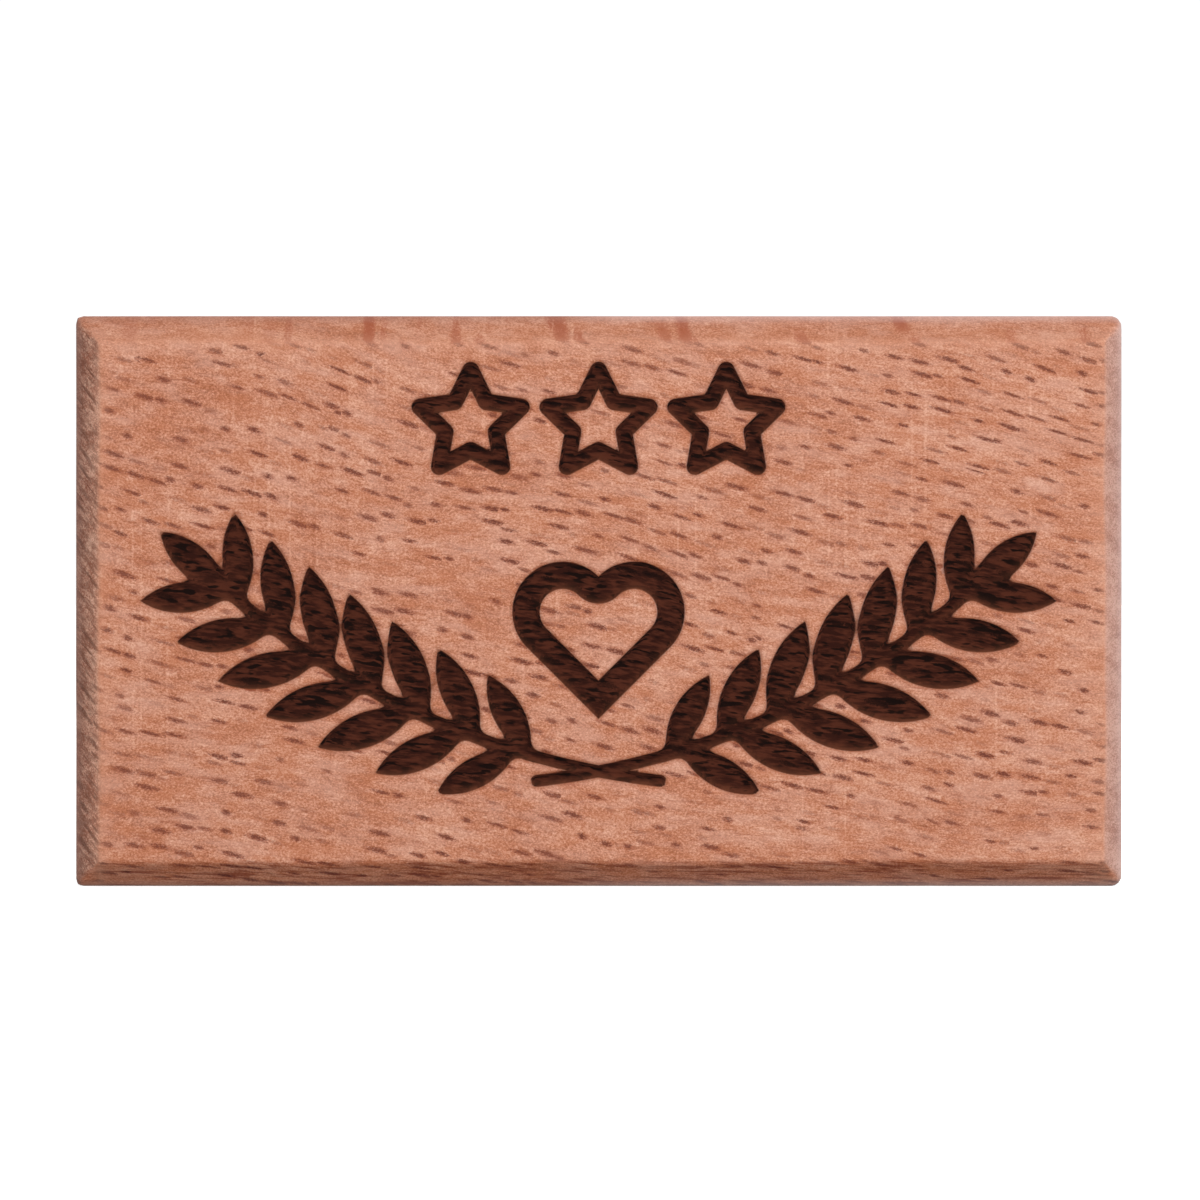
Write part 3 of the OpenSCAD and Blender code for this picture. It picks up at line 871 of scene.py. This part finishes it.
def bumper_profile(radius, thickness):
    """Radius and height from the dimple in the middle of the face, over the groove and the
    rounded rim, down the slightly drawn-in side and back under to the middle of the stuck face."""
    bend_round = np.radians(np.linspace(0, 90, 9))
    dimple = np.linspace(0.12, dimple_radius, 8)
    face = np.linspace(0.9, radius - bumper_edge - 0.1, 6)
    groove = groove_half_width * np.linspace(-1, 1, 6)
    rim = radius - bumper_edge + bumper_edge * np.sin(bend_round)
    side = np.array([radius, radius - 0.01, radius - 0.05, radius - 0.06])
    under = np.array([radius - 0.12, radius * 0.6, 0.3])
    hollow = thickness - dimple_depth * (0.5 + 0.5 * np.cos(np.pi * dimple / dimple_radius))
    dip = thickness - groove_depth * (1 - (groove / groove_half_width) ** 2)
    r = np.concatenate([dimple, face[:3], groove_radius + groove, face[4:], rim, side, under])
    h = np.concatenate([hollow, np.full(3, thickness), dip, np.full(2, thickness),
                        thickness - bumper_edge * (1 - np.cos(bend_round)),
                        [0.9, 0.4, 0.25, 0.06], [0, 0, 0]])
    return r, h


rubber = Finish("matte_black_rubber")
spot = rubber.millimetres()
mould = rubber.noise(rubber.enlarged(spot, 5.5), 3.0, 0.7)
dust = rubber.noise(rubber.enlarged(spot, 1.1), 4.0, 0.6)
lint = rubber.rise(rubber.noise(rubber.enlarged(spot, 3.2), 3.0, 0.8), 0.62, 0.74)
black = rubber.blend(rubber.rise(mould, 0.3, 0.7), shade(24, 24, 26), shade(42, 42, 44))
black = rubber.blend(rubber.rise(dust, 0.45, 0.75, 0.0, 0.4), black, shade(84, 80, 76))
black = rubber.blend(rubber.times(lint, 0.35), black, shade(128, 122, 114))
rubber.feed(rubber.surface.inputs["Base Color"], black)
rubber.feed(rubber.surface.inputs["Roughness"], rubber.rise(mould, 0.3, 0.7, 0.62, 0.8))
rubber.surface.inputs["Specular IOR Level"].default_value = 0.4
rubber.relief(mould, 0.03)

for node in ("bumper_upper_left", "bumper_upper_right", "bumper_lower_left", "bumper_lower_right"):
    from_corner, to_corner = (np.array(corner) * 1000 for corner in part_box(node))
    middle = (from_corner + to_corner) / 2
    r, h = bumper_profile((to_corner[0] - from_corner[0]) / 2, to_corner[1] - back)
    turn = np.radians(np.arange(0, 360, 5))
    skin = np.stack([middle[0] + r[:, None] * np.sin(turn), back + h[:, None] + 0 * turn,
                     middle[2] + r[:, None] * np.cos(turn)], -1)
    bumper = close_round(node + "_moulded", skin, (middle[0], back + h[0], middle[2]),
                         (middle[0], back, middle[2]), 50)
    bumper.data.materials.append(rubber.material)
    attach(bumper, "root")
    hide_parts(node)


# ---- Floor, light and camera -----------------------------------------------------------------
# A plain white floor that glows in the distance, one soft lamp before the plaque and above it,
# weaker soft lamps beside and behind it, and a long lens level with its middle. In metres.

centre = (cad_low + cad_high) / 2
floor_size, lamp_distance = 60, 1.0
bpy.ops.mesh.primitive_plane_add(size=floor_size, location=(0, 0, cad_low.z))
floor = bpy.context.object
floor.name = "floor"
paper = Finish("white_floor")
paper.surface.inputs["Base Color"].default_value = (0.86, 0.86, 0.86, 1)
paper.surface.inputs["Roughness"].default_value = 0.9
paper.surface.inputs["Emission Color"].default_value = (1, 1, 1, 1)
reach = paper.step("VectorMath", {0: paper.step("TexCoord", {}, "Object")}, "Value",
                   operation="LENGTH")
paper.feed(paper.surface.inputs["Emission Strength"], paper.rise(reach, 0.3, 1.3, 0.62, 1.1))
floor.data.materials.append(paper.material)
floor.visible_diffuse = False

world = bpy.data.worlds.new("studio")
world.use_nodes = True
bpy.context.scene.world = world
sky = world.node_tree
seen = sky.nodes["Background"]
seen.inputs["Color"].default_value = (1, 1, 1, 1)
seen.inputs["Strength"].default_value = 1.05
fill = sky.nodes.new("ShaderNodeBackground")
fill.inputs["Color"].default_value = (1, 1, 1, 1)
fill.inputs["Strength"].default_value = 0.10
rays = sky.nodes.new("ShaderNodeLightPath")
either = sky.nodes.new("ShaderNodeMixShader")
sky.links.new(rays.outputs["Is Camera Ray"], either.inputs[0])
sky.links.new(fill.outputs[0], either.inputs[1])
sky.links.new(seen.outputs[0], either.inputs[2])
sky.links.new(either.outputs[0], sky.nodes["World Output"].inputs[0])


def soft_lamp(name, azimuth, elevation, power, size):
    """A square lamp that faces the plaque. Azimuth 0 is straight before it, 90 to its right."""
    a, e = np.radians([azimuth, elevation])
    lamp = bpy.data.objects.new(name, bpy.data.lights.new(name, "AREA"))
    lamp.data.energy, lamp.data.size = power, size
    lamp.location = centre + lamp_distance * Vector(
        (np.sin(a) * np.cos(e), -np.cos(a) * np.cos(e), np.sin(e)))
    lamp.rotation_euler = (lamp.location - centre).to_track_quat("Z", "Y").to_euler()
    bpy.context.scene.collection.objects.link(lamp)


soft_lamp("key", 12, 22, 8.9, 0.45)
soft_lamp("right", 84, 10, 2.1, 0.5)
soft_lamp("left", -82, 10, 1.5, 0.5)
soft_lamp("back_left", 205, 35, 6.0, 0.6)
soft_lamp("back_right", 140, 30, 3.6, 0.6)

camera = bpy.data.objects.new("camera", bpy.data.cameras.new("camera"))
camera_distance = 0.62
frame_width = 0.1263          # width that the picture takes in at the block's widest outline
widest_y = (front + bevel_left) / 1000
aside, above = 0.00016, 0.0001          # how far the lens is off the block's middle
sensor_width = 36
camera.data.sensor_width = sensor_width
camera.data.lens = sensor_width * camera_distance / frame_width
camera.location = (aside, widest_y - camera_distance, centre.z + above)
camera.rotation_euler = (np.pi / 2, 0, 0)
camera.data.clip_start = 0.01
bpy.context.scene.collection.objects.link(camera)
bpy.context.scene.camera = camera
bpy.context.scene.view_settings.view_transform = "Standard"
